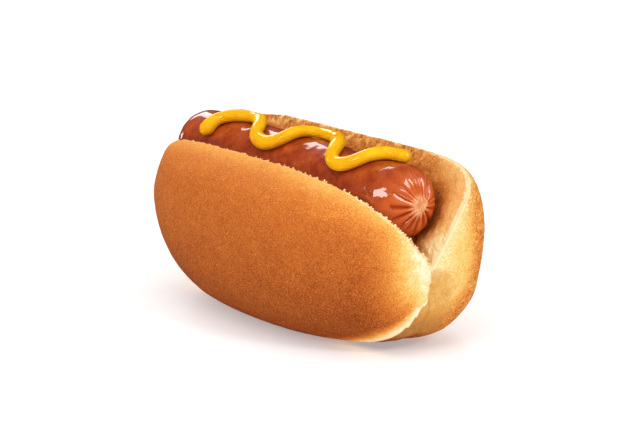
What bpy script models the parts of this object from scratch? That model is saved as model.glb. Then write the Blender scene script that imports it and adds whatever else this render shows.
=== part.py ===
"""Hot dog: a split bun that stands on its uncut side, a frankfurter in the split and a bead of mustard.

Metres, +Z up. The origin is the middle of the whole thing's footprint, on the surface it stands on.
+X runs along the frankfurter, -Y is the domed crown half of the bun and +Y is its squarer heel half.
The named sizes are in millimetres and degrees; MM turns them into metres when a mesh is made.
"""

import bpy
import numpy as np

MM = 0.001

# Frankfurter, lying level along X
FRANK_RADIUS = 12.3
FRANK_SHOULDERS = (-54.0, 50.0)     # where the straight middle ends
FRANK_CAPS = (12.0, 8.8)            # length of each rounded end
FRANK_CAP_POWER = 2.2               # 2 is an ellipse, more is blunter
FRANK_TIPS = (FRANK_SHOULDERS[0] - FRANK_CAPS[0], FRANK_SHOULDERS[1] + FRANK_CAPS[1])
FRANK_LUMP = 0.22                   # how far the skin swells and sinks along the middle
FRANK_WAVES = (47.0, 31.0)          # lengths of the two waves in which it does
PLEATS = 18
PLEAT_DEPTH = 0.55
PLEAT_REACH = 13.0                  # how far the gathers run back from the tip
PLEAT_FADE = 0.6                    # share of the full radius within which the gathers die out
KNOT_RADIUS = 2.0
KNOT_HEIGHT = 0.7
KNOT_TURNS = (0.0, 35.0, 65.0)      # degrees up the knot's small dome at each of its rings

# Bun: an outline swept round the hinge, which is the line under the frankfurter where the halves join
HINGE_Y = 1.2
HINGE_DROP = 17.6                   # hinge below the frankfurter's axis
FOOT_DROP = 29.5                    # flat foot below the hinge
CROWN_CUT = -145.4                  # cut edge of the crown, in degrees from straight down
HEEL_CUT = 147.0                    # cut edge of the heel
CRUST_OUTLINE = (                   # degrees from straight down about the hinge, distance from it
    (CROWN_CUT, 28.5), (-120.0, 37.1), (-85.0, 37.4), (-45.0, 36.1), (-22.0, 31.8), (0.0, 30.25),
    (26.0, 33.0), (40.0, 32.4), (56.0, 31.7), (76.0, 28.5), (95.0, 28.8), (110.0, 30.4),
    (124.0, 33.2), (139.0, 34.8), (HEEL_CUT, 32.7))
HEEL_RISE = 2.0                     # how much further the heel's top edge reaches at +X than at -X
HEEL_RISE_ANGLES = (90.0, 131.0)    # it sets in between these
END_SHAPE = (                       # degrees, half length at -X and +X, rounding of each (2: ellipse)
    (CROWN_CUT, 60.8, 62.8, 6.9, 3.2), (-126.0, 60.8, 63.1, 3.5, 2.6), (-95.0, 64.8, 63.6, 2.45, 2.15),
    (-55.0, 63.8, 63.9, 2.3, 2.2), (-9.0, 62.1, 64.3, 3.4, 3.8), (5.0, 58.5, 61.6, 3.0, 3.9),
    (30.0, 62.3, 63.3, 4.6, 4.3), (112.0, 64.5, 67.6, 5.0, 4.7), (131.0, 64.0, 67.5, 4.8, 4.7),
    (HEEL_CUT, 64.4, 66.0, 6.0, 6.9))
HINGE_HALF_LENGTH = (61.8, 63.9)
HINGE_BLEND = (0.22, 0.7)           # share of the radius over which an end settles, at sole and cut edge
HINGE_BLEND_ANGLES = (60.0, 140.0)  # how far round the first turns into the second
MIDDLE = 0.3                        # share of the half length over which the ends' shapes are blended
CROWN_FLARE = 3.7                   # degrees that the crown opens towards its ends
HEEL_FLARE = -1.8
FLARE_ANGLES = (30.0, 150.0)        # how far round the flare sets in
CRUST_LIP = 2.2                     # degrees between a cut edge and the next crust line
CUT_EDGE_ANGLE = 40.0               # faces that meet more sharply than this keep a sharp edge

# Cut faces of the bun
CUT_SWELL = 0.03                    # how far the crumb stands proud of a flat cut, as a share of its depth
CUT_WAVES = ((50.0, 0.35), (23.0, 0.2))   # length and strength of each wave along the cut
CUT_CROWDING = 1.15                 # above 1 sets the cut's lines closer together at its edge
SEAT_CAPS = (16.0, 13.5)            # length over which the seat runs out past each shoulder
SEAT_GAP = 0.55                     # room between the crumb and the frankfurter
SEAT_ROUNDING = 1.6                 # softness of the seat's edge
SEAT_START = 0.12                   # share of the cut's depth over which the seat sets in

# Mustard: a bead laid in waves over the top of the frankfurter
BEAD_WIDTH = 4.8
BEAD_HEIGHT = 3.1
BEAD_GAP = 0.35
BEAD_UNDERCUT = 22.0                # degrees below its widest line to which the section is drawn
BEAD_END_HEIGHT = 0.35              # height of the two ends as a share of the full height
BEAD_END_ROUNDING = 0.3             # how far each end's point stands out
BEAD_ROUTE = (                      # place along X, degrees round the frankfurter towards the heel
    (-41.3, -60.5), (-41.2, -38.5), (-37.4, -17.0), (-31.3, -5.0), (-25.0, -4.0), (-19.2, -19.0),
    (-16.0, -35.0), (-11.0, -44.5), (-5.2, -41.0), (-1.9, -26.0), (-0.6, -7.5), (2.6, 11.0),
    (9.8, 14.0), (18.6, 0.0), (23.6, -22.5), (27.0, -40.0), (32.4, -44.0), (37.2, -32.0),
    (39.8, -13.0), (42.8, 6.0), (50.0, 15.0))

# How finely each surface is divided
RINGS = 44
CRUST_LINES = ((-15.0, 17), (17.0, 7), (HEEL_CUT - CRUST_LIP, 17))   # up to this angle, lines of crust
CUT_LINES = 8
FRANK_RINGS = 22
CAP_RINGS = 9
BEAD_LENGTH_STEP = 1.7
BEAD_SIDES = 10


def smoothstep(x, low, high):
    share = np.clip((x - low) / (high - low), 0.0, 1.0)
    return share * share * (3.0 - 2.0 * share)


def curve_through(stations):
    """A natural cubic spline through (place, value) stations, as a function of place."""
    place, value = np.array(stations, float).T
    step = np.diff(place)
    last = len(place) - 1
    rows = np.eye(last + 1)
    target = np.zeros(last + 1)
    for i in range(1, last):
        rows[i, i - 1:i + 2] = step[i - 1], 2.0 * (step[i - 1] + step[i]), step[i]
        target[i] = 6.0 * ((value[i + 1] - value[i]) / step[i] - (value[i] - value[i - 1]) / step[i - 1])
    bend = np.linalg.solve(rows, target)

    def at(x):
        i = np.clip(np.searchsorted(place, x) - 1, 0, last - 1)
        before = (place[i + 1] - x) / step[i]
        after = (x - place[i]) / step[i]
        sag = (before**3 - before) * bend[i] + (after**3 - after) * bend[i + 1]
        return before * value[i] + after * value[i + 1] + sag * step[i] ** 2 / 6.0

    return at


def steady_curve_through(rows):
    """A curve through rows of (place, values...) that never passes beyond the values on either side."""
    place, value = np.array(rows, float)[:, 0], np.array(rows, float)[:, 1:]
    step = np.diff(place)[:, None]
    slope = np.diff(value, axis=0) / step
    before, after = slope[:-1], slope[1:]
    level = np.abs(before * step[1:] + after * step[:-1]) / (step[:-1] + step[1:])
    least = np.minimum(np.minimum(np.abs(before), np.abs(after)), level / 2.0)
    lean = np.vstack((slope[:1], (np.sign(before) + np.sign(after)) * least, slope[-1:]))

    def at(x):
        i = int(np.clip(np.searchsorted(place, x) - 1, 0, len(place) - 2))
        share = (x - place[i]) / step[i, 0]
        rest = 1.0 - share
        kept = rest**2 * ((1.0 + 2.0 * share) * value[i] + share * step[i] * lean[i])
        return kept + share**2 * ((1.0 + 2.0 * rest) * value[i + 1] - rest * step[i] * lean[i + 1])

    return at


def closed_tube(rings, start, end):
    """Vertices and faces of a tube of equal rings, closed by a fan to a point at each end."""
    count = len(rings[0])
    points = [start, *[point for ring in rings for point in ring], end]
    faces = []
    for row in range(len(rings) - 1):
        for i in range(count):
            low = 1 + row * count
            high = low + count
            after = (i + 1) % count
            faces.append((low + i, low + after, high + after, high + i))
    tip = len(points) - 1
    for i in range(count):
        after = (i + 1) % count
        faces.append((0, 1 + after, 1 + i))
        faces.append((tip, tip - count + i, tip - count + after))
    return points, faces


def plain_material(name, colour, roughness):
    material = bpy.data.materials.new(name)
    material.use_nodes = True
    shader = material.node_tree.nodes["Principled BSDF"]
    shader.inputs["Base Color"].default_value = (*colour, 1.0)
    shader.inputs["Roughness"].default_value = roughness
    shader.inputs["Metallic"].default_value = 0.0
    return material


def add_object(name, points, faces, material, sharp_from=180.0):
    """A mesh object whose points are given in millimetres about the frankfurter's axis."""
    mesh = bpy.data.meshes.new(name)
    mesh.from_pydata([tuple(np.array(point) * MM) for point in points], [], faces)
    mesh.shade_smooth()
    mesh.set_sharp_from_angle(angle=np.radians(sharp_from))
    mesh.materials.append(material)
    thing = bpy.data.objects.new(name, mesh)
    bpy.context.scene.collection.objects.link(thing)
    return thing


# Frankfurter

def past_shoulder(x, caps):
    """How far x is into a rounded end, from 0 or less at its shoulder to 1 at its tip."""
    return max((FRANK_SHOULDERS[0] - x) / caps[0], (x - FRANK_SHOULDERS[1]) / caps[1])


def frank_radius(x):
    """Radius of the plain casing at x, nothing past its tips."""
    share = np.clip(past_shoulder(x, FRANK_CAPS), 0.0, 1.0)
    return FRANK_RADIUS * np.sqrt(1.0 - share**FRANK_CAP_POWER)


def frank_point(x, around):
    """A point of the skin, with its slow swells and the gathers that run into each tip."""
    to_tip = min(x - FRANK_TIPS[0], FRANK_TIPS[1] - x)
    gather = 1.0 - smoothstep(to_tip, 1.0, PLEAT_REACH)
    long_wave, short_wave = (2.0 * np.pi * x / length for length in FRANK_WAVES)
    swell = FRANK_LUMP * (np.sin(long_wave + around) + np.sin(short_wave - 2.0 * around)) * (1.0 - gather)
    plain = frank_radius(x)
    fold = PLEAT_DEPTH * gather * (0.5 - 0.5 * np.cos(PLEATS * around))
    fold *= min(1.0, plain / (FRANK_RADIUS * PLEAT_FADE))
    radius = plain - FRANK_LUMP * 2.0 + swell - fold
    return x, radius * np.sin(around), radius * np.cos(around)


def frank_stations():
    low, high = FRANK_SHOULDERS
    turn = np.linspace(0.0, np.pi / 2.0, CAP_RINGS, endpoint=False)[1:]
    return [*(low - FRANK_CAPS[0] * np.cos(turn)), *np.linspace(low, high, FRANK_RINGS),
            *(high + FRANK_CAPS[1] * np.sin(turn))]


def knot_rings(tip, outward, sides):
    """The tied end of the casing: a small dome of rings, from the skin outwards."""
    rings = []
    for turn in np.radians(KNOT_TURNS):
        radius = KNOT_RADIUS * np.cos(turn)
        x = tip + outward * KNOT_HEIGHT * (np.sin(turn) - 1.0)
        rings.append([(x, radius * np.sin(a), radius * np.cos(a)) for a in sides])
    return rings


def add_frankfurter(material):
    sides = np.linspace(0.0, 2.0 * np.pi, 2 * PLEATS, endpoint=False)
    body = [[frank_point(x, around) for around in sides] for x in frank_stations()]
    low_tip, high_tip = FRANK_TIPS
    low_knot = knot_rings(low_tip, -1.0, sides)[::-1]
    high_knot = knot_rings(high_tip, 1.0, sides)
    rings = [ring[::-1] for ring in low_knot + body + high_knot]
    points, faces = closed_tube(rings, (low_tip, 0.0, 0.0), (high_tip, 0.0, 0.0))
    return add_object("frankfurter", points, faces, material)


# Bun

crust_radius = curve_through(CRUST_OUTLINE)
end_row = steady_curve_through(END_SHAPE)


def end_shape(angle, end):
    """Half length and rounding at an angle round the hinge, from the -X end (0) to the +X end (1)."""
    low_length, high_length, low_power, high_power = end_row(angle)
    return (1.0 - end) * low_length + end * high_length, (1.0 - end) * low_power + end * high_power


def hinge_half_length(end):
    return (1.0 - end) * HINGE_HALF_LENGTH[0] + end * HINGE_HALF_LENGTH[1]


def crust_point(turn, angle):
    """A point of the crust: turn runs from 0 at the +X end to pi at the -X end, angle round the hinge."""
    along, across = np.cos(turn), np.sin(turn)
    end = smoothstep(along, -MIDDLE, MIDDLE)
    length, power = end_shape(angle, end)
    reach = (abs(along) ** power + across**power) ** (-1.0 / power)
    rise = HEEL_RISE * smoothstep(angle, *HEEL_RISE_ANGLES) * (0.5 + 0.5 * along)
    full_radius = crust_radius(angle) + rise
    radius = full_radius * reach * across
    x = length * reach * along
    at_sole, at_cut = HINGE_BLEND
    blend = at_sole + (at_cut - at_sole) * smoothstep(abs(angle), *HINGE_BLEND_ANGLES)
    settle = np.exp(-((radius / (blend * full_radius)) ** 2))
    x -= np.sign(x) * (length - hinge_half_length(end)) * settle
    flare = CROWN_FLARE if angle < 0.0 else -HEEL_FLARE
    flare *= smoothstep(abs(angle), *FLARE_ANGLES) * (x / length) ** 2
    bearing = np.radians(angle + flare)
    y = HINGE_Y + radius * np.sin(bearing)
    z = -HINGE_DROP - radius * np.cos(bearing)
    return np.array((x, y, max(z, -HINGE_DROP - FOOT_DROP)))


def hinge_point(turn):
    along = np.cos(turn)
    length = hinge_half_length(smoothstep(along, -MIDDLE, MIDDLE))
    return np.array((length * along, HINGE_Y, -HINGE_DROP))


def seat_radius(x):
    """Radius of the hollow that the frankfurter lies in; it runs out towards the ends of the bun."""
    share = np.clip(past_shoulder(x, SEAT_CAPS), 0.0, 1.0)
    return (FRANK_RADIUS + SEAT_GAP) * np.sqrt(1.0 - share**2)


def cut_point(rim, hinge, share, half):
    """A point of a cut face, share of the way from rim to hinge, swollen and hollowed for the seat."""
    x, y, z = (1.0 - share) * rim + share * hinge
    depth = np.hypot(*(rim - hinge)[1:])
    (long_wave, more), (short_wave, less) = CUT_WAVES
    wave = 1.0 + more * np.sin(2.0 * np.pi * x / long_wave + 2.0 * half)
    wave += less * np.sin(2.0 * np.pi * (x / short_wave + share))
    y -= half * CUT_SWELL * depth * np.sin(np.pi * share) * wave
    distance = np.hypot(y, z)
    seat = seat_radius(x)
    if seat > 0.0:
        gap = distance - seat
        pushed = seat + 0.5 * (gap + np.sqrt(gap**2 + SEAT_ROUNDING**2))
        stretch = 1.0 + (pushed / distance - 1.0) * smoothstep(share, 0.0, SEAT_START)
        y, z = y * stretch, z * stretch
    return np.array((x, y, z))


def crust_angles():
    """Angles of the lines of crust, close by a cut edge and closer together round the sole's crease."""
    angles = [CROWN_CUT, CROWN_CUT + CRUST_LIP]
    for until, lines in CRUST_LINES:
        angles.extend(np.linspace(angles[-1], until, lines + 1)[1:])
    return [*angles, HEEL_CUT]


def bun_ring(turn):
    """One closed line round the bun: the crust from cut edge to cut edge, then both cut faces."""
    crust = [crust_point(turn, angle) for angle in crust_angles()]
    hinge = hinge_point(turn)
    shares = (np.arange(1, CUT_LINES + 1) / (CUT_LINES + 1)) ** CUT_CROWDING
    heel = [cut_point(crust[-1], hinge, share, 1.0) for share in shares]
    crown = [cut_point(crust[0], hinge, share, -1.0) for share in shares]
    return [*crust, *heel, hinge, *crown[::-1]]


def add_bun(material):
    turns = np.linspace(np.pi, 0.0, RINGS + 2)
    rings = [bun_ring(turn) for turn in turns[1:-1]]
    points, faces = closed_tube(rings, hinge_point(turns[0]), hinge_point(turns[-1]))
    return add_object("bun", points, faces, material, CUT_EDGE_ANGLE)


# Mustard

def route_points():
    """The middle of the bead's underside every BEAD_LENGTH_STEP, with the way up and the way along."""
    places = np.array(BEAD_ROUTE)
    flat = np.column_stack((places[:, 0], np.radians(places[:, 1]) * FRANK_RADIUS))
    run = np.concatenate(([0.0], np.cumsum(np.hypot(*np.diff(flat, axis=0).T))))
    along = curve_through(np.column_stack((run, places[:, 0])))
    around = curve_through(np.column_stack((run, np.radians(places[:, 1]))))
    steps = np.linspace(0.0, run[-1], int(run[-1] / BEAD_LENGTH_STEP))
    underside = FRANK_RADIUS + BEAD_GAP
    x, bearing = along(steps), around(steps)
    up = np.column_stack((np.zeros_like(x), np.sin(bearing), np.cos(bearing)))
    middle = np.column_stack((x, underside * up[:, 1], underside * up[:, 2]))
    forward = np.gradient(middle, axis=0)
    forward /= np.linalg.norm(forward, axis=1)[:, None]
    return middle, up, forward, steps


def bead_profile():
    """Half-round section of a bead of unit half-width and unit height that has sat down a little."""
    under = np.radians(BEAD_UNDERCUT)
    turn = np.linspace(-under, np.pi + under, BEAD_SIDES)
    low = np.sin(turn[0])
    return [(np.cos(a), (np.sin(a) - low) / (1.0 - low)) for a in turn]


def add_mustard(material):
    middle, up, forward, steps = route_points()
    half_width = BEAD_WIDTH / 2.0
    to_end = np.minimum(steps, steps[-1] - steps) + BEAD_END_ROUNDING
    fullness = np.sqrt(1.0 - (1.0 - np.clip(to_end / half_width, 0.0, 1.0)) ** 2)
    rings = []
    for place, rise, ahead, full in zip(middle, up, forward, fullness):
        side = np.cross(rise, ahead)
        lift = BEAD_HEIGHT * (BEAD_END_HEIGHT + (1.0 - BEAD_END_HEIGHT) * full)
        rings.append([place + side * across * half_width * full + rise * height * lift
                      for across, height in bead_profile()])
    end_rise = BEAD_HEIGHT * BEAD_END_HEIGHT
    tail = middle[0] - forward[0] * BEAD_END_ROUNDING + up[0] * end_rise
    tip = middle[-1] + forward[-1] * BEAD_END_ROUNDING + up[-1] * end_rise
    points, faces = closed_tube(rings, tail, tip)
    return add_object("mustard", points, faces, material)


def stand_on_origin(things):
    """Moves all meshes together so that the middle of their footprint is the origin."""
    corners = np.array([vertex.co for thing in things for vertex in thing.data.vertices])
    low, high = corners.min(axis=0), corners.max(axis=0)
    shift = np.array((-(low[0] + high[0]) / 2.0, -(low[1] + high[1]) / 2.0, -low[2]))
    for thing in things:
        for vertex in thing.data.vertices:
            vertex.co = np.array(vertex.co) + shift


def main():
    for thing in list(bpy.data.objects):
        bpy.data.objects.remove(thing)
    crust = plain_material("bun_crust", (0.55, 0.20, 0.05), 0.6)
    skin = plain_material("frankfurter_skin", (0.42, 0.09, 0.02), 0.25)
    yellow = plain_material("mustard_yellow", (0.86, 0.46, 0.01), 0.2)
    stand_on_origin([add_bun(crust), add_frankfurter(skin), add_mustard(yellow)])


main()
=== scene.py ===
"""Looks of a hot dog: a split bun, a frankfurter and a bead of mustard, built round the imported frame.

Metres, +Z up. Shapes are worked out in millimetres about the frankfurter's axis, which runs along X.
"""

import random

import bmesh
import bpy
import numpy as np
from mathutils import Matrix, Vector, kdtree, noise


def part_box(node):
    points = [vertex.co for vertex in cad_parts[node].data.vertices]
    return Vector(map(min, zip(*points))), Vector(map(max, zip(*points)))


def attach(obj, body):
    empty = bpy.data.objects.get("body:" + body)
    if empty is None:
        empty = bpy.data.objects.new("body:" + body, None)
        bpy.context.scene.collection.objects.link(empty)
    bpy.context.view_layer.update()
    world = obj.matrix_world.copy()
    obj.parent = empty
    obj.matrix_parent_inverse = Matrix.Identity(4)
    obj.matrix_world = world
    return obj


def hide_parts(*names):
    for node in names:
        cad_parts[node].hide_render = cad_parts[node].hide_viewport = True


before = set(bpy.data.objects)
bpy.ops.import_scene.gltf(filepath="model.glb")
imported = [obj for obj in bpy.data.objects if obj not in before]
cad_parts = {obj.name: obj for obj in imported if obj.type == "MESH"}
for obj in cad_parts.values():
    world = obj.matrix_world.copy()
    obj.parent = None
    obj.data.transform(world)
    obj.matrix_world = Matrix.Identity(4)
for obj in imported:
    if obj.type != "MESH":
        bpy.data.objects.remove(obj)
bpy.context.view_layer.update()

MM = 0.001
SEED = 7

# Where things are, in millimetres about the frankfurter's axis
TIP_X = 58.8                        # the frankfurter's +X tip
TAIL_X = -66.0                      # and its -X tip
SKIN_RADIUS = 12.3
HINGE = (1.2, -17.6)                # y and z of the line where the two cut faces meet

frank_low, frank_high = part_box("frankfurter")
AXIS = Vector((frank_high.x - TIP_X * MM, (frank_low.y + frank_high.y) / 2.0,
               (frank_low.z + frank_high.z) / 2.0))


def smoothstep(x, low, high):
    share = np.clip((x - low) / (high - low), 0.0, 1.0)
    return share * share * (3.0 - 2.0 * share)


# Working on meshes

def alone(piece):
    """Selects this piece and nothing else."""
    bpy.ops.object.select_all(action="DESELECT")
    piece.select_set(True)
    bpy.context.view_layer.objects.active = piece


def points_of(piece):
    """Vertices in millimetres about the frankfurter's axis."""
    mesh = piece.data
    flat = np.empty(len(mesh.vertices) * 3)
    mesh.vertices.foreach_get("co", flat)
    return (flat.reshape(-1, 3) - np.array(AXIS)) / MM


def normals_of(piece):
    mesh = piece.data
    flat = np.empty(len(mesh.vertices) * 3)
    mesh.vertex_normals.foreach_get("vector", flat)
    return flat.reshape(-1, 3)


def move_points(piece, points):
    mesh = piece.data
    mesh.vertices.foreach_set("co", (points * MM + np.array(AXIS)).ravel())
    mesh.update()


def paint(piece, name, values):
    """Stores a value for each vertex, for the piece's material to read."""
    layer = piece.data.attributes.new(name, "FLOAT", "POINT")
    layer.data.foreach_set("value", np.ascontiguousarray(values, np.float32))


def apply_modifier(piece, kind, **settings):
    alone(piece)
    modifier = piece.modifiers.new(kind.title(), kind)
    for key, value in settings.items():
        setattr(modifier, key, value)
    bpy.ops.object.modifier_apply(modifier=modifier.name)


def merged_copy(node, name):
    """A piece that starts as a copy of a CAD node, its loose triangles merged and paired into quads."""
    piece = bpy.data.objects.new(name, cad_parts[node].data.copy())
    bpy.context.scene.collection.objects.link(piece)
    alone(piece)
    bpy.ops.mesh.customdata_custom_splitnormals_clear()
    bpy.ops.object.mode_set(mode="EDIT")
    bpy.ops.mesh.select_all(action="SELECT")
    bpy.ops.mesh.remove_doubles(threshold=0.01 * MM)
    bpy.ops.mesh.tris_convert_to_quads(face_threshold=np.radians(60.0), shape_threshold=np.radians(80.0))
    bpy.ops.object.mode_set(mode="OBJECT")
    piece.data.materials.clear()
    return piece


def rough(points, size, octaves):
    """Fractal noise about zero at each point, with lumps of about this size in millimetres."""
    return np.array([noise.fractal(Vector(point) / size, 0.9, 2.1, octaves) for point in points])


def lumpy(points, layers):
    """Roughness in layers: how high each stands, how wide its lumps are, its octaves and its own shift."""
    return sum(height * rough(points + shift, width, octaves) for height, width, octaves, shift in layers)


def place(piece, node, material):
    piece.data.materials.append(material)
    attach(piece, "root")
    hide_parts(node)


# Working on materials

def colour(red, green, blue):
    """A colour from its 8-bit display values."""
    share = np.array((red, green, blue)) / 255.0
    linear = np.where(share <= 0.04045, share / 12.92, ((share + 0.055) / 1.055) ** 2.4)
    return (*linear.tolist(), 1.0)


class Value:
    """An output of a node in a finish. Arithmetic on it adds Math nodes."""

    def __init__(self, finish, output):
        self.finish = finish
        self.output = output

    def math(self, operation, *values):
        return self.finish.node("ShaderNodeMath", {"operation": operation}, dict(enumerate(values)))

    def __add__(self, other):
        return self.math("ADD", self, other)

    def __radd__(self, other):
        return self.math("ADD", other, self)

    def __sub__(self, other):
        return self.math("SUBTRACT", self, other)

    def __rsub__(self, other):
        return self.math("SUBTRACT", other, self)

    def __mul__(self, other):
        return self.math("MULTIPLY", self, other)

    def __rmul__(self, other):
        return self.math("MULTIPLY", other, self)

    def __truediv__(self, other):
        return self.math("DIVIDE", self, other)

    def __rtruediv__(self, other):
        return self.math("DIVIDE", other, self)

    def step(self, low, high):
        """0 below low, 1 above high and smooth between."""
        return self.finish.node("ShaderNodeMapRange", {"interpolation_type": "SMOOTHSTEP"},
                                {"Value": self, "From Min": low, "From Max": high})


class Finish:
    """A material in the making."""

    def __init__(self, name, **constants):
        self.material = bpy.data.materials.new(name)
        self.material.use_nodes = True
        self.tree = self.material.node_tree
        self.shader = self.tree.nodes["Principled BSDF"]
        for key, value in constants.items():
            self.shader.inputs[key.replace("_", " ")].default_value = value

    def node(self, kind, settings=None, inputs=None, output=0):
        made = self.tree.nodes.new(kind)
        for key, value in (settings or {}).items():
            if key == "stops":
                self.set_stops(made.color_ramp, value)
            else:
                setattr(made, key, value)
        for key, value in (inputs or {}).items():
            self.feed(made.inputs[key], value)
        return Value(self, made.outputs[output])

    def feed(self, socket, value):
        if isinstance(value, Value):
            self.tree.links.new(value.output, socket)
        else:
            socket.default_value = value

    @staticmethod
    def set_stops(ramp, stops):
        ramp.interpolation = "EASE"
        while len(ramp.elements) < len(stops):
            ramp.elements.new(1.0)
        for element, (position, shade) in zip(ramp.elements, stops):
            element.position = position
            element.color = shade

    def place(self):
        return self.node("ShaderNodeTexCoord", output="Object")

    def painted(self, name):
        return self.node("ShaderNodeAttribute", {"attribute_name": name}, output="Fac")

    def noise(self, where, size, detail=4.0, roughness=0.5, distortion=0.0):
        """Noise from 0 to 1 with features of about this size in millimetres."""
        return self.node("ShaderNodeTexNoise", {},
                         {"Vector": where, "Scale": 1.0 / (size * MM), "Detail": detail,
                          "Roughness": roughness, "Distortion": distortion})

    def cells(self, where, size):
        """Distance from the middle of cells of about this size in millimetres."""
        return self.node("ShaderNodeTexVoronoi", {}, {"Vector": where, "Scale": 1.0 / (size * MM)},
                         "Distance")

    def ramp(self, factor, *stops):
        return self.node("ShaderNodeValToRGB", {"stops": stops}, {"Fac": factor}, "Color")

    def mix(self, mask, first, second):
        """The first colour where mask is 0 and the second where it is 1."""
        return self.node("ShaderNodeMix", {"data_type": "RGBA", "clamp_factor": True},
                         {0: mask, 6: first, 7: second}, 2)

    def bump(self, height, depth):
        """A normal from height, where a height of 1 stands this many millimetres proud."""
        return self.node("ShaderNodeBump", {}, {"Height": height, "Strength": 1.0, "Distance": depth * MM})

    def set(self, **values):
        for key, value in values.items():
            self.feed(self.shader.inputs[key.replace("_", " ")], value)


# Bun

RIM_SHARPNESS = 34.0                # degrees at which two faces meet at a cut edge, at least
CRISP_RIM = 0.75                    # how sharply a cut edge stands
SOFT_RIM = 0.0                      # and how sharply at the heel's +X end
SOFT_FROM_X = 34.0
INNER_EDGE = 0.5                    # and how sharply a hollow edge is kept
HEEL_CREEP = 0.9                    # how far torn crumb shows past the heel's cut edge

# Angles are in degrees round the hinge from straight down, negative on the crown's side, and a share is of
# the radius of the full outline there
OUTLINE = ((-145.4, 28.5), (-120.0, 37.1), (-85.0, 37.4), (-45.0, 36.1), (-22.0, 31.8), (0.0, 30.3),
           (26.0, 33.0), (56.0, 31.7), (76.0, 28.5), (95.0, 28.8), (110.0, 30.4), (124.0, 34.4),
           (139.0, 36.2), (147.0, 34.0))
# Shares and angles, where crown meets heel and where the valley beside that crease ends
CREASE = ((0.18, 8.0), (0.31, 2.0), (0.42, -14.0), (0.70, -18.0))
VALLEY_EDGE = ((0.20, 72.0), (0.33, 57.0), (0.46, 41.0), (0.67, 29.0), (1.0, 22.0))

# How brown it is, from 0 for torn crumb to 1 for the darkest crust underneath; the darkening towards the
# underside is partly painted shade
CRUST_BAKE_AND_SHADE = ((-145.4, 0.31), (-137.0, 0.45), (-128.0, 0.63), (-115.0, 0.74), (-95.0, 0.77), (-70.0, 0.87),
              (-45.0, 0.97), (0.0, 1.00), (25.0, 0.62), (60.0, 0.54), (90.0, 0.53), (120.0, 0.54),
              (135.0, 0.50), (147.0, 0.34))
JOINT_BAKE = 0.03                   # of the pale places where bun tore from bun
END_BAKE = 0.24                     # of the heel's ends
RIM_PALER = 0.09                    # how much paler the crown's cut edge gets towards +X
CREASE_FADE = (3.0, 20.0)           # degrees from the crease over which the crown's end browns
HEEL_FADE = (0.40, 0.68)            # shares over which the heel's end browns
CROWN_FADE = ((-145.4, 0.66), (-114.0, 0.64), (-90.0, 0.56), (-60.0, 0.65), (-41.0, 0.75), (-31.0, 0.80),
              (-18.0, 1.15))        # angles, and the share at which the crown's end is full brown

# Layers of roughness, for lumpy
CRUST_LUMPS = ((0.10, 6.0, 3, 0.0), (0.07, 2.2, 2, 0.0))
TORN_LUMPS = ((0.32, 2.4, 3, 40.0), (0.30, 1.3, 2, 70.0))
TORN_END_LUMPS = ((0.18, 1.9, 2, 20.0), (0.16, 1.0, 2, 55.0))
FRAY = 1.1                          # how wide the tatters of a cut edge are
LIFT_LIMITS = (-0.8, 0.35)          # how far roughness may lower and raise the surface

CROWN_LIP = 0.35                    # how far the crown's edge bulges over the crease
VALLEY_DROP = 0.8                   # how far the heel drops beside it
JOINT_FILL = 1.0                    # how far the joint below the hinge is filled, round this angle
JOINT_AT = 5.0


def open_bun(piece):
    """Marks the cut faces as crumb and keeps the cut edges crisp under subdivision."""
    mesh = bmesh.new()
    mesh.from_mesh(piece.data)
    crease = mesh.edges.layers.float.new("crease_edge")
    crumb = mesh.faces.layers.int.new("crumb")
    limit = np.radians(RIM_SHARPNESS)
    rim = set()
    for edge in mesh.edges:
        bend = edge.calc_face_angle_signed(0.0)
        if bend > limit:
            rim.add(edge)
            spot = (edge.verts[0].co - AXIS) / MM
            edge[crease] = SOFT_RIM if spot.x > SOFT_FROM_X and spot.y > HINGE[0] else CRISP_RIM
        elif bend < -limit:
            edge[crease] = INNER_EDGE
    middle = Vector((0.0, HINGE[0] * MM, (HINGE[1] + 6.0) * MM)) + AXIS
    start = min(mesh.faces, key=lambda face: (face.calc_center_median() - middle).length)
    found = {start}
    waiting = [start]
    while waiting:
        face = waiting.pop()
        for edge in face.edges:
            if edge in rim:
                continue
            for other in edge.link_faces:
                if other not in found:
                    found.add(other)
                    waiting.append(other)
    for face in found:
        face[crumb] = 1
    mesh.to_mesh(piece.data)
    mesh.free()


def depth_past_rim(piece):
    """How far each vertex is from the nearest cut edge, positive in the crumb, and the edge's vertices."""
    mesh = piece.data
    inside = np.zeros(len(mesh.vertices), bool)
    outside = inside.copy()
    for polygon, cut in zip(mesh.polygons, mesh.attributes["crumb"].data):
        side = inside if cut.value else outside
        side[list(polygon.vertices)] = True
    points = points_of(piece)
    rim = np.flatnonzero(inside & outside)
    tree = kdtree.KDTree(len(rim))
    for index in rim:
        tree.insert(points[index], int(index))
    tree.balance()
    away = np.array([tree.find(point)[2] for point in points])
    return np.where(inside & ~outside, away, -away), rim


def round_hinge(points):
    """Angle round the hinge from straight down, and the share of the full outline's radius."""
    across, up = points[:, 1] - HINGE[0], points[:, 2] - HINGE[1]
    angle = np.degrees(np.arctan2(across, -up))
    return angle, np.hypot(across, up) / np.interp(angle, *np.array(OUTLINE).T)


def past_crease(angle, share):
    """How many degrees a place is past the crease between crown and heel, on the heel's side."""
    return angle - np.interp(share, *np.array(CREASE).T)


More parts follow.
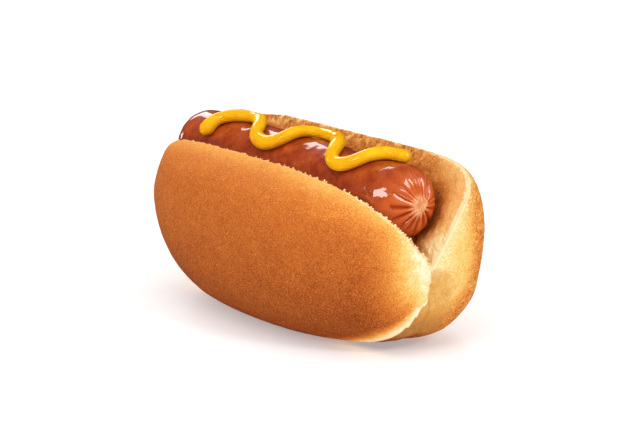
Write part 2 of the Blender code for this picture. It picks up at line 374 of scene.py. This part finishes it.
def bake_and_shade_of(points):
    """How brown the crust is, from 0 for torn crumb to 1 for the darkest bottom, which is partly painted
    shade.
    """
    angle, share = round_hinge(points)
    x = points[:, 0]
    full = np.interp(angle, *np.array(CRUST_BAKE_AND_SHADE).T)
    fade = np.interp(angle, *np.array(CROWN_FADE).T)
    past = past_crease(angle, share)
    browned = np.minimum(smoothstep(share, 0.06, fade), smoothstep(-past, *CREASE_FADE))
    crown_end = JOINT_BAKE + (full - JOINT_BAKE) * browned
    heel_end = END_BAKE + (full - END_BAKE) * smoothstep(share, *HEEL_FADE)
    at_end = smoothstep(np.abs(x), 20.0, 46.0)
    end = np.where(past < 0.0, crown_end, heel_end)
    near_cut = (1.0 - smoothstep(angle, -140.0, -100.0)) * smoothstep(x, -5.0, 50.0)
    return full + (end - full) * at_end - RIM_PALER * near_cut


def crease_relief(angle, share, past):
    """How the ends rise and fall across the crease between crown and heel."""
    lip = CROWN_LIP * np.exp(np.minimum(past, 0.0) / 8.0)
    valley = -VALLEY_DROP * np.exp(-np.maximum(past, 0.0) / 9.0)
    filled = JOINT_FILL * np.exp(-(((angle - JOINT_AT) / 10.0) ** 2))
    return (np.where(past < 0.0, lip, valley) + filled) * smoothstep(share, 0.28, 0.42)


bun = merged_copy("bun", "bun_bread")
open_bun(bun)
apply_modifier(bun, "SUBSURF", levels=2, render_levels=2)
cut, rim = depth_past_rim(bun)
points = points_of(bun)
angle, share = round_hinge(points)
past = past_crease(angle, share)
bake = bake_and_shade_of(points)
x, from_middle = points[:, 0], np.abs(points[:, 0])
in_crumb, on_crust = cut > 0.0, cut < 0.0
on_heel = (angle > 0.0) * 1.0
right_end = smoothstep(x, 34.0, 58.0)
far_rim = on_heel * (1.0 - smoothstep(x, 30.0, 56.0))
on_rim = np.exp(-(cut / 0.9) ** 2) * (0.55 + 0.5 * far_rim)
above_foot = smoothstep(points[:, 2], -46.5, -44.0)
crust_relief = lumpy(points, CRUST_LUMPS) * above_foot
torn_relief = lumpy(points, TORN_LUMPS) * np.clip(cut / 1.5, 0.35, 1.0)
torn_end = (angle < 8.0) * on_crust * smoothstep(from_middle, 56.0, 61.0)
torn_end = torn_end * (1.0 - smoothstep(share, 0.10, 0.34))
lift = np.where(in_crumb, torn_relief, crust_relief) + on_rim * rough(points, FRAY, 2)
lift += torn_end * lumpy(points, TORN_END_LUMPS)
creased = crease_relief(angle, share, past) * smoothstep(from_middle, 53.0, 59.0) * on_crust
points += normals_of(bun) * (np.clip(lift, *LIFT_LIMITS) + creased)[:, None]
bun_low, bun_high = ((corner - AXIS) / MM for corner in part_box("bun"))
move_points(bun, np.clip(points, bun_low, bun_high))
bun.data.shade_smooth()

x, from_middle = points[:, 0], np.abs(points[:, 0])
cream_reach = np.where(in_crumb, 11.0, 6.0)
low_end = in_crumb * smoothstep(x, 50.0, 60.0) * (1.0 - smoothstep(share, 0.16, 0.42))
cream = (np.exp(-(cut / cream_reach) ** 2) * smoothstep(x, 36.0, 60.0) + low_end) * on_heel
speckle = 0.12 * smoothstep(share, 0.25, 0.45) + 0.75 * smoothstep(share, 0.48, 0.62)
# Painted shade: the valley mask darkens the hollow beside the crease at each end, where crown meets heel
valley_edge = np.interp(share, *np.array(VALLEY_EDGE).T)
valley = smoothstep(past, -1.0, 3.0) * (1.0 - smoothstep(angle - valley_edge, -20.0, 8.0))
valley *= smoothstep(share, 0.0, 0.10) * smoothstep(from_middle, 52.0, 58.0) * on_crust
# How brown the crust is, with painted shade that darkens it towards the underside
paint(bun, "bake", bake)
paint(bun, "cut", cut + HEEL_CREEP * on_heel)
paint(bun, "fringe", np.where(angle < 0.0, 0.34 + 0.86 * right_end, 0.22 + 1.2 * right_end))
paint(bun, "cream", cream)
paint(bun, "speckle", smoothstep(x, -10.0, 62.0) * on_heel * speckle)
paint(bun, "torn_end", torn_end)
paint(bun, "ragged", np.exp(-(cut / 4.0) ** 2) * far_rim)
paint(bun, "valley", valley)
bun.data.attributes.remove(bun.data.attributes["crumb"])

bread = Finish("bun_bread", Specular_IOR_Level=0.03)
where = bread.place()
cut_depth = bread.painted("cut")
# Browning, with painted shade towards the underside
brown = bread.painted("bake")
speckle = bread.painted("speckle")
ragged = bread.painted("ragged")
valley = bread.painted("valley")
blotch = bread.noise(where, 8.0, 3.0) - 0.5
mottle = bread.noise(where, 2.0, 4.0, 0.6) - 0.5
patches = bread.noise(where, 4.5, 2.0)
torn = bread.painted("torn_end")
specks = bread.noise(where, 0.9, 2.0) - 0.5
grain = (bread.noise(where, 0.42, 3.0, 0.7) - 0.5) * (0.15 + brown * 0.75 + patches * 0.5)
flecks = (1 - bread.cells(where, 1.4).step(0.08, 0.22)) * patches.step(0.46, 0.60)
scars = 1 - (bread.cells(where, 15.0) + mottle * 0.04).step(0.03, 0.06)
cream = bread.painted("cream") * (0.8 + mottle * 1.4)
mottling = 0.16 + speckle * 0.55 + ragged * 1.2 + torn * 0.25
browning = (brown + blotch * (0.14 + speckle * 0.3) + mottle * mottling + specks * speckle * 0.9
            + grain * (1.35 + speckle * 0.9) - flecks * 0.22 + scars * 0.22 - cream * 0.20)
crust = bread.ramp(browning, (0.0, colour(255, 238, 200)), (0.16, colour(252, 208, 130)),
                   (0.30, colour(244, 179, 88)), (0.45, colour(229, 148, 66)), (0.60, colour(216, 123, 52)),
                   (0.75, colour(199, 105, 43)), (0.88, colour(177, 91, 37)), (1.0, colour(150, 70, 28)))
# Painted shade: a darker olive-tan in the hollow beside the crease
crust = bread.mix(valley * (0.62 + mottle * 1.1), crust, colour(212, 156, 80))
# Painted shade: crumb darker the deeper it lies in the cut, beside the frankfurter
shade_deeper_in_cut = cut_depth.step(0.5, 12.0)
toast_and_shade = (0.52 + shade_deeper_in_cut * 0.22 + blotch * 0.25 + mottle * (0.60 + ragged * 1.1) - ragged * 0.10
         + grain * (1.30 - cream * 0.5) - cream * 0.38 - valley * 0.15)
crumb_colour = bread.ramp(toast_and_shade, (0.0, colour(255, 222, 160)), (0.22, colour(244, 186, 112)),
                          (0.42, colour(226, 150, 76)), (0.62, colour(200, 114, 48)),
                          (0.85, colour(158, 74, 28)))
wobble = (bread.noise(where, 1.3, 3.0, 0.6) - 0.5) * 1.6
inside = (cut_depth + wobble * 0.4).step(-0.15, 0.2)
paleness = bread.painted("fringe")
edge_depth = cut_depth + wobble * 0.8 - 0.1
rim_band = 1 - (edge_depth.math("ABSOLUTE", edge_depth) / paleness).step(0.35, 1.0)
surface = bread.mix(inside, crust, crumb_colour)
surface = bread.mix(rim_band * 0.8, surface, colour(255, 232, 180))
pits = bread.noise(where, 0.9, 4.0, 0.7)
height = (1 - inside) * (grain * 1.5 + mottle * 0.5) + inside * (pits * 2.0)
bread.set(Base_Color=surface, Roughness=0.65 + inside * 0.2 + grain * 0.1, Normal=bread.bump(height, 0.28))
place(bun, "bun", bread.material)

# Frankfurter

SHOULDERS = (-54.0, 50.0)           # places along X where its rounded ends begin
CAPS = (12.0, 8.8)                  # and how long those are
CAP_POWER = 2.2                     # 2 would make them ellipsoids
CAP_IN = 0.35                       # how far inside SKIN_RADIUS they start
TUCK = 4.5                          # radius inside which the casing turns in to a tip
PUCKER = ((0.9, 0.0, 1.3), (-0.15, 2.4, 0.8))   # rings round a tip: how deep, how far from it, how wide
CRUMPLE = 0.5                       # height of the crumples at a tip
CASING_IN = 0.25                    # how far the casing's lumps are set in
CASING_LUMPS = ((0.15, 4.5, 2, 0.0), (0.05, 1.8, 2, 30.0))
PLEAT_GAPS = (27.0, 13.0)           # degrees between its pleats where they are widest and closest
PLEATS_CLOSEST = 20.0               # degrees from the top towards the heel where they are closest
PLEAT_FADES = (0.45, 0.50)          # shares of a fold's reach from which its two sides fade
TIP_FINE = 14.0                     # how far from a tip the mesh is finer
TIP_ASIDE = 1.2                     # how far the gathered +X tip lies towards the heel
FLAT_SPOT = (52.7, -10.35, 4.5)     # a place that is pressed a little flat
FLAT_FACING = (36.5, 22.0)          # azimuth and elevation it faces
FLAT_SIZE = 2.3
FLAT_STRETCH = (0.66, 1.0, 1.35)    # less than 1 makes it longer along that axis
FLATNESS = 0.90                     # 1 would make it a plane
TURN = 2.0 * np.pi


def press_flat(points, spot, facing, size):
    """Flattens the casing round a spot, so that it faces this azimuth and elevation there."""
    azimuth, elevation = np.radians(facing)
    level = np.cos(elevation)
    outward = np.array((np.sin(azimuth) * level, -np.cos(azimuth) * level, np.sin(elevation)))
    away = np.linalg.norm((points - spot) * FLAT_STRETCH, axis=1)
    height = (points - spot) @ outward
    ragged = size * (1.0 + 0.6 * rough(points, 1.9, 2))
    share = FLATNESS * (1.0 - smoothstep(away, ragged * 0.85, ragged * 1.3))
    return points - outward * (height * share)[:, None]


def tip_distance(x, radius):
    """Distance along the skin from the nearest tip, roughly."""
    gap = np.minimum(x - TAIL_X, TIP_X - x)
    return np.hypot(np.clip(gap, 0.0, None), radius)


def lean_out(x, radius):
    """The plain casing's outward direction: its shares along X and away from the axis."""
    past = np.clip(np.maximum((SHOULDERS[0] - x) / CAPS[0], (x - SHOULDERS[1]) / CAPS[1]), 0.0, 1.0)
    along = np.where(x > 0.0, 1.0 / CAPS[1], -1.0 / CAPS[0]) * CAP_POWER * past ** (CAP_POWER - 1.0)
    outward = 2.0 * radius / SKIN_RADIUS**2
    size = np.hypot(along, outward) + 1e-9
    return along / size, outward / size


def cap_x(radius, end):
    """Where the plain rounded end is at this radius."""
    share = (1.0 - np.clip(radius / SKIN_RADIUS, 0.0, 1.0) ** 2) ** (1.0 / CAP_POWER)
    return np.where(end > 0.0, SHOULDERS[1] + CAPS[1] * share, SHOULDERS[0] - CAPS[0] * share)


def fold_lines():
    """The folds between the pleats at a tip: the bearing, lean, depth and reach of each."""
    chance = random.Random(SEED)
    folds = []
    bearing = -180.0
    while bearing < 180.0 - 0.7 * min(PLEAT_GAPS):
        closeness = smoothstep(np.cos(np.radians(bearing - PLEATS_CLOSEST)), -0.4, 0.6)
        gap = PLEAT_GAPS[0] + (PLEAT_GAPS[1] - PLEAT_GAPS[0]) * closeness
        lean = chance.uniform(-0.02, 0.02)
        depth = gap * chance.uniform(0.030, 0.048)
        folds.append((np.radians(bearing), lean, depth, chance.uniform(11.0, 16.0)))
        bearing += gap * chance.uniform(0.7, 1.3)
    return folds


def gathers(around, far):
    """How far the casing lies below its pleats, by angle round the axis and distance from the tip."""
    folds = fold_lines()
    below = np.zeros_like(around)
    for fold, next_fold in zip(folds, folds[1:] + folds[:1]):
        bearing, lean, depth, reach = fold
        next_bearing, next_lean, next_depth, next_reach = next_fold
        start = bearing + lean * far
        span = (next_bearing + next_lean * far - start) % TURN
        across = ((around - start) % TURN) / span
        side = 2.0 * across - 1.0
        first = depth * (1.0 - smoothstep(far, reach * PLEAT_FADES[0], reach))
        second = next_depth * (1.0 - smoothstep(far, next_reach * PLEAT_FADES[1], next_reach))
        below = np.where(across < 1.0, np.where(side < 0.0, first, second) * side**2, below)
    return below * smoothstep(far, 1.0, 5.0)


def refine_tips(piece):
    """Cuts the faces round both tips once more, for the pleats."""
    points = points_of(piece)
    near_tip = tip_distance(points[:, 0], np.hypot(points[:, 1], points[:, 2])) < TIP_FINE
    alone(piece)
    bpy.context.tool_settings.mesh_select_mode = (False, False, True)
    bpy.ops.object.mode_set(mode="EDIT")
    bpy.ops.mesh.select_all(action="DESELECT")
    bpy.ops.object.mode_set(mode="OBJECT")
    for polygon in piece.data.polygons:
        polygon.select = bool(near_tip[list(polygon.vertices)].all())
    bpy.ops.object.mode_set(mode="EDIT")
    bpy.ops.mesh.subdivide(number_cuts=1, ngon=False)
    bpy.ops.object.mode_set(mode="OBJECT")


frank = merged_copy("frankfurter", "frankfurter_casing")
apply_modifier(frank, "SUBSURF", levels=2, render_levels=2)
refine_tips(frank)
points = points_of(frank)
x, radius = points[:, 0], np.hypot(points[:, 1], points[:, 2])
around = np.arctan2(points[:, 1], points[:, 2])
end = np.where(x > 0.0, 1.0, -1.0)
past = np.maximum((SHOULDERS[0] - x) / CAPS[0], (x - SHOULDERS[1]) / CAPS[1])
plain = (SKIN_RADIUS - CAP_IN) * np.sqrt(np.clip(1.0 - np.clip(past, 0.0, 1.0) ** CAP_POWER, 0.0, 1.0))
along_side = smoothstep(tip_distance(x, radius), 12.0, 32.0)
wide = np.where(radius > TUCK, plain + (radius - plain) * along_side, radius)
far = tip_distance(x, wide)
x = np.where(radius > TUCK, x, cap_x(radius, end))
fold = gathers(around, far)
lumps = lumpy(points, CASING_LUMPS) * smoothstep(far, 2.0, 6.0)
crumple = CRUMPLE * rough(points * (0.6, 1.0, 1.0) + 11.0, 0.8, 3) * (1.0 - smoothstep(far, 2.2, 4.6))
pucker = sum(depth * np.exp(-(((far - ring) / width) ** 2)) for depth, ring, width in PUCKER)
lift = lumps - fold - pucker - crumple - CASING_IN
along, outward = lean_out(x, wide)
x, wide = x + lift * along, wide + lift * outward
points = np.column_stack((x, wide * np.sin(around), wide * np.cos(around)))
points[:, 1] += TIP_ASIDE * (x > 0.0) * (1.0 - smoothstep(far, 2.0, 12.0))
points = press_flat(points, FLAT_SPOT, FLAT_FACING, FLAT_SIZE)
frank_box_low, frank_box_high = ((corner - AXIS) / MM for corner in (frank_low, frank_high))
move_points(frank, np.clip(points, frank_box_low, frank_box_high))
frank.data.shade_smooth()
# The folds' depth also sets painted shade in the pleats' valleys
paint(frank, "fold", fold)
paint(frank, "tip", far + 1.8 * fold)

skin = Finish("frankfurter_skin", Roughness=0.45, Specular_IOR_Level=0.12, Coat_Weight=0.85,
              Coat_Roughness=0.06, Coat_IOR=1.5)
where = skin.place()
far = skin.painted("tip")
blush = skin.noise(where, 9.0, 3.0, 0.55, 0.6)
spots = skin.noise(where, 2.6, 4.0, 0.6)
veins = skin.noise(where, 0.8, 3.0, 0.6)
depth = (blush - 0.5) * 0.95 + (spots - 0.5) * 0.9 + (veins - 0.5) * 0.3 + 0.5
meat = skin.ramp(depth, (0.10, colour(122, 34, 14)), (0.38, colour(154, 54, 20)),
                 (0.60, colour(172, 70, 28)), (0.90, colour(196, 94, 42)))
orange = 1 - far.step(5.5, 14.5)
meat = skin.mix(orange * (0.84 + (blush - 0.5) * 0.9), meat, colour(222, 106, 42))
# Painted shade: darker red in the valleys between the pleats
meat = skin.mix(skin.painted("fold").step(0.08, 0.7) * 0.6, meat, colour(160, 40, 14))
pale = (1 - (far + (spots - 0.5) * 2.6).step(1.8, 4.9)) * (0.6 + veins * 0.6)
meat = skin.mix(pale, meat, colour(240, 172, 118))
skin.set(Base_Color=meat, Normal=skin.bump(spots * 0.8 + veins * 0.35, 0.17))
place(frank, "frankfurter", skin.material)

# Mustard

BEAD_ROUTE = ((-41.3, -60.5), (-41.2, -38.5), (-37.4, -17.0), (-31.3, -5.0), (-25.0, -4.0), (-19.2, -19.0),
              (-16.0, -35.0), (-11.0, -44.5), (-5.2, -41.0), (-1.9, -26.0), (-0.6, -7.5), (2.6, 11.0),
              (9.8, 14.0), (18.6, 0.0), (23.6, -22.5), (27.0, -40.0), (32.4, -44.0), (37.2, -32.0),
              (39.8, -13.0), (42.8, 6.0), (50.0, 15.0))
BEAD_RADIUS = 2.4
BEAD_SQUASH = 0.86                  # of its height is left where it has sat down
BEAD_TOP_THINNER = 0.07             # on top, and as much fatter where it would run down the sides
BEAD_WAVES = ((0.05, 5.3, 0.0), (0.04, 2.1, 1.0))   # how much it swells along its run, how slowly, phase
BEAD_LOBES = (-23.5, 15.5)          # places along X where the strand swells as it folds
LOBE_SWELL = 0.12
LOBE_LENGTH = 1.7
END_SWELL = 0.10
END_LENGTH = 2.5
END_SINK = 0.25                     # how far its ends sink
BEAD_CENTRE = 13.95                 # from the frankfurter's axis
BEAD_STEP = 0.5
BEAD_LUMPS = ((0.05, 3.0, 2, 0.0),)
BEAD_GAP = 0.06                     # of air between it and the casing


def curve_through(stations):
    """A natural cubic spline through (place, value) stations, as a function of place."""
    at, value = np.array(stations, float).T
    step = np.diff(at)
    last = len(at) - 1
    rows = np.eye(last + 1)
    target = np.zeros(last + 1)
    for i in range(1, last):
        rows[i, i - 1:i + 2] = step[i - 1], 2.0 * (step[i - 1] + step[i]), step[i]
        target[i] = 6.0 * ((value[i + 1] - value[i]) / step[i] - (value[i] - value[i - 1]) / step[i - 1])
    bend = np.linalg.solve(rows, target)

    def find(x):
        i = np.clip(np.searchsorted(at, x) - 1, 0, last - 1)
        before = (at[i + 1] - x) / step[i]
        after = (x - at[i]) / step[i]
        sag = (before**3 - before) * bend[i] + (after**3 - after) * bend[i + 1]
        return before * value[i] + after * value[i + 1] + sag * step[i] ** 2 / 6.0

    return find


def add_bead(name):
    """The mustard's strand: a tube along its route over the skin; its underside is pressed flat afterwards.
    """
    places = np.array(BEAD_ROUTE)
    unrolled = np.column_stack((places[:, 0], np.radians(places[:, 1]) * SKIN_RADIUS))
    run = np.concatenate(([0.0], np.cumsum(np.hypot(*np.diff(unrolled, axis=0).T))))
    steps = np.linspace(0.0, run[-1], int(run[-1] / BEAD_STEP))
    x = curve_through(np.column_stack((run, places[:, 0])))(steps)
    bearing = curve_through(np.column_stack((run, np.radians(places[:, 1]))))(steps)
    to_end = np.minimum(steps, run[-1] - steps)
    past_end = 1.0 - np.clip(to_end / BEAD_RADIUS, 0.0, 1.0)
    rounding = np.sqrt(1.0 - past_end**2) + 0.02
    swell = 1.0 - BEAD_TOP_THINNER * np.cos(2.0 * bearing)
    swell += sum(share * np.sin(steps / length + phase) for share, length, phase in BEAD_WAVES)
    swell += sum(LOBE_SWELL * np.exp(-(((x - lobe) / LOBE_LENGTH) ** 2)) for lobe in BEAD_LOBES)
    swell += END_SWELL * np.exp(-(((to_end - END_LENGTH) / END_LENGTH) ** 2))
    curve = bpy.data.curves.new(name, "CURVE")
    curve.dimensions = "3D"
    curve.bevel_depth = BEAD_RADIUS * MM
    curve.bevel_resolution = 8
    curve.use_fill_caps = True
    spline = curve.splines.new("POLY")
    spline.points.add(len(steps) - 1)
    centre = BEAD_CENTRE - END_SINK * past_end
    for i, point in enumerate(spline.points):
        spot = Vector((x[i], centre[i] * np.sin(bearing[i]), centre[i] * np.cos(bearing[i]))) * MM + AXIS
        point.co = (*spot, 1.0)
        point.radius = rounding[i] * swell[i]
    piece = bpy.data.objects.new(name, curve)
    bpy.context.scene.collection.objects.link(piece)
    alone(piece)
    bpy.ops.object.convert(target="MESH")
    piece = bpy.context.object
    bpy.ops.object.mode_set(mode="EDIT")
    bpy.ops.mesh.select_all(action="SELECT")
    bpy.ops.mesh.remove_doubles(threshold=0.02 * MM)
    bpy.ops.mesh.normals_make_consistent(inside=False)
    bpy.ops.object.mode_set(mode="OBJECT")
    return piece


mustard = add_bead("mustard_bead")
points = points_of(mustard)
points += normals_of(mustard) * lumpy(points, BEAD_LUMPS)[:, None]
radius = np.hypot(points[:, 1], points[:, 2])
bearing = np.arctan2(points[:, 1], points[:, 2])
skin_under = np.empty(len(points))
for i, (x, turn) in enumerate(zip(points[:, 0], bearing)):
    start = Vector((x, 0.0, 0.0)) * MM + AXIS
    found, spot, _, _ = frank.ray_cast(start, Vector((0.0, np.sin(turn), np.cos(turn))))
    skin_under[i] = (spot - start).length / MM if found else 0.0
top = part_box("mustard")[1].z
skin_under += BEAD_GAP
radius = skin_under + BEAD_SQUASH * np.maximum(radius - skin_under, 0.0)
points = np.column_stack((points[:, 0], radius * np.sin(bearing), radius * np.cos(bearing)))
points[:, 2] = np.minimum(points[:, 2], (top - AXIS.z) / MM)
move_points(mustard, points)
mustard.data.shade_smooth()

yellow = Finish("mustard_yellow", Roughness=0.4, Specular_IOR_Level=0.0, Coat_Weight=0.65,
                Coat_Roughness=0.1, Coat_IOR=1.5, Subsurface_Weight=0.15, Subsurface_Scale=1.2 * MM,
                Subsurface_Radius=(1.0, 0.8, 0.3))
where = yellow.place()
clouds = yellow.noise(where, 5.0, 3.0)
specks = yellow.noise(where, 0.6, 3.0)
paste = yellow.ramp(clouds * 0.8 + specks * 0.25, (0.25, colour(220, 148, 12)), (0.5, colour(230, 164, 18)),
                    (0.75, colour(238, 180, 26)))
yellow.set(Base_Color=paste, Normal=yellow.bump(clouds * 0.4 + specks * 0.2, 0.06))
place(mustard, "mustard", yellow.material)

# Crumbs along the cut edges

CRUMBS = 420
CRUMB_SIZES = (0.10, 0.34)          # radii
CRUMB_STRAY = 0.25                  # how far one may lie from the edge, each way


def add_crumbs():
    """Loose bits of crumb that cling to the bun's cut edges, more of them towards its +X end."""
    chance = random.Random(SEED + 1)
    edge = points_of(bun)[rim]
    angle, _ = round_hinge(edge)
    odds = 0.2 + smoothstep(edge[:, 0], 30.0, 60.0) * 1.5
    odds = np.where(angle < 0.0, odds, odds * 0.5)
    bpy.ops.object.select_all(action="DESELECT")
    bpy.ops.mesh.primitive_ico_sphere_add(subdivisions=1, radius=MM)
    model = bpy.context.object
    bits = []
    for index in chance.choices(range(len(edge)), weights=odds.tolist(), k=CRUMBS):
        bit = bpy.data.objects.new("bun_crumb", model.data.copy())
        bpy.context.scene.collection.objects.link(bit)
        size = chance.uniform(*CRUMB_SIZES)
        stray = [chance.uniform(-CRUMB_STRAY, CRUMB_STRAY) for _ in range(3)]
        bit.location = Vector(edge[index] + stray) * MM + AXIS
        bit.rotation_euler = [chance.uniform(0.0, 6.28) for _ in range(3)]
        bit.scale = [size * chance.uniform(0.7, 1.35) for _ in range(3)]
        bits.append(bit)
    bpy.data.objects.remove(model)
    alone(bits[0])
    for bit in bits:
        bit.select_set(True)
    bpy.ops.object.join()
    bpy.ops.object.transform_apply(location=True, rotation=True, scale=True)
    crumbs = bpy.context.object
    crumbs.name = "bun_crumbs"
    move_points(crumbs, np.clip(points_of(crumbs), bun_low, bun_high))
    return crumbs


crumbs = add_crumbs()
loose = Finish("bun_crumbs", Roughness=0.85, Specular_IOR_Level=0.15)
toasted = loose.noise(loose.place(), 1.6)
loose.set(Base_Color=loose.ramp(toasted, (0.3, colour(255, 236, 192)), (0.7, colour(244, 188, 118))))
place(crumbs, "bun", loose.material)

# Floor, light and camera

VIEW_AZIMUTH = 54.12
VIEW_ELEVATION = 13.83
VIEW_DISTANCE = 690.0
VIEW_WIDTH = 206.4516               # what the picture spans at that distance
VIEW_SHIFT = (5.01, -13.31)         # how far right and up the camera stands off its line to AXIS
SENSOR = 36.0
LIGHT_DISTANCE = 1500.0
WORLD_BRIGHTNESS = 0.52


def view_axes(azimuth, elevation):
    """Right, up and back of something that looks at the hot dog from this direction."""
    azimuth, elevation = np.radians((azimuth, elevation))
    level = np.cos(elevation)
    back = Vector((np.sin(azimuth) * level, -np.cos(azimuth) * level, np.sin(elevation)))
    right = Vector((np.cos(azimuth), np.sin(azimuth), 0.0))
    return right, back.cross(right), back


def stand(thing, azimuth, elevation, distance, offset=(0.0, 0.0)):
    """Stands a camera or lamp in this direction, facing the hot dog, then moved right and up."""
    right, up, back = view_axes(azimuth, elevation)
    turn = Matrix((right, up, back)).transposed().to_4x4()
    turn.translation = AXIS + (back * distance + right * offset[0] + up * offset[1]) * MM
    thing.matrix_world = turn


def add_lamp(name, kind, azimuth, elevation):
    thing = bpy.data.objects.new(name, bpy.data.lights.new(name, kind))
    bpy.context.scene.collection.objects.link(thing)
    stand(thing, azimuth, elevation, LIGHT_DISTANCE)
    return thing


def add_softbox(name, azimuth, elevation, width, height, brightness, lights=True, reflects=True):
    """A softbox that shows white this bright where it falls squarely on the hot dog."""
    thing = add_lamp(name, "AREA", azimuth, elevation)
    thing.visible_diffuse = lights
    thing.visible_glossy = reflects
    thing.data.shape = "RECTANGLE"
    thing.data.size = width * MM
    thing.data.size_y = height * MM
    thing.data.energy = brightness * (np.pi * LIGHT_DISTANCE * MM) ** 2
    return thing


def add_sky_panel(name, azimuth, elevation, spread, brightness):
    """A very large far panel, as a wide sun, that shows in no reflection."""
    thing = add_lamp(name, "SUN", azimuth, elevation)
    thing.visible_glossy = False
    thing.data.angle = np.radians(spread)
    thing.data.energy = brightness * np.pi


camera = bpy.data.cameras.new("camera")
camera.sensor_width = SENSOR
camera.lens = SENSOR * VIEW_DISTANCE / VIEW_WIDTH
camera.clip_start = 0.01
camera_stand = bpy.data.objects.new("camera", camera)
bpy.context.scene.collection.objects.link(camera_stand)
stand(camera_stand, VIEW_AZIMUTH, VIEW_ELEVATION, VIEW_DISTANCE, VIEW_SHIFT)
bpy.context.scene.camera = camera_stand

bpy.ops.object.select_all(action="DESELECT")
bpy.ops.mesh.primitive_circle_add(vertices=96, radius=3.0, fill_type="NGON", location=(0.0, 0.0, 0.0))
floor = bpy.context.object
floor.name = "floor"
floor_white = Finish("floor_white", Base_Color=(0.72, 0.72, 0.72, 1.0), Roughness=0.8,
                     Specular_IOR_Level=0.1, Emission_Color=(1.0, 1.0, 1.0, 1.0), Emission_Strength=0.32)
floor.data.materials.append(floor_white.material)
floor.visible_glossy = False

world = bpy.data.worlds.new("studio")
bpy.context.scene.world = world
world.use_nodes = True
background = world.node_tree.nodes["Background"]
background.inputs["Color"].default_value = (1.0, 1.0, 1.0, 1.0)
background.inputs["Strength"].default_value = WORLD_BRIGHTNESS
world.cycles_visibility.glossy = False
bpy.context.scene.view_settings.view_transform = "Standard"

add_sky_panel("top_panel", 30.0, 72.0, 70.0, 0.47)
add_softbox("right_softbox", 100.0, 35.0, 300.0, 300.0, 0.25, reflects=False)
add_softbox("back_softbox", -108.0, 26.0, 460.0, 560.0, 0.19)
add_softbox("front_softbox", 19.0, 30.0, 300.0, 240.0, 0.17, reflects=False)
add_softbox("patch_reflector", 17.5, 31.5, 420.0, 340.0, 0.30, lights=False)
add_softbox("pleat_reflector", 122.0, 34.0, 1100.0, 420.0, 0.75, lights=False)
add_softbox("left_softbox", -75.0, 4.0, 150.0, 200.0, 0.03)
glint = add_softbox("mustard_softbox", 50.0, 42.0, 240.0, 240.0, 0.05)
shone_on = bpy.data.collections.new("mustard_softbox_shines_on")
shone_on.objects.link(mustard)
glint.light_linking.receiver_collection = shone_on
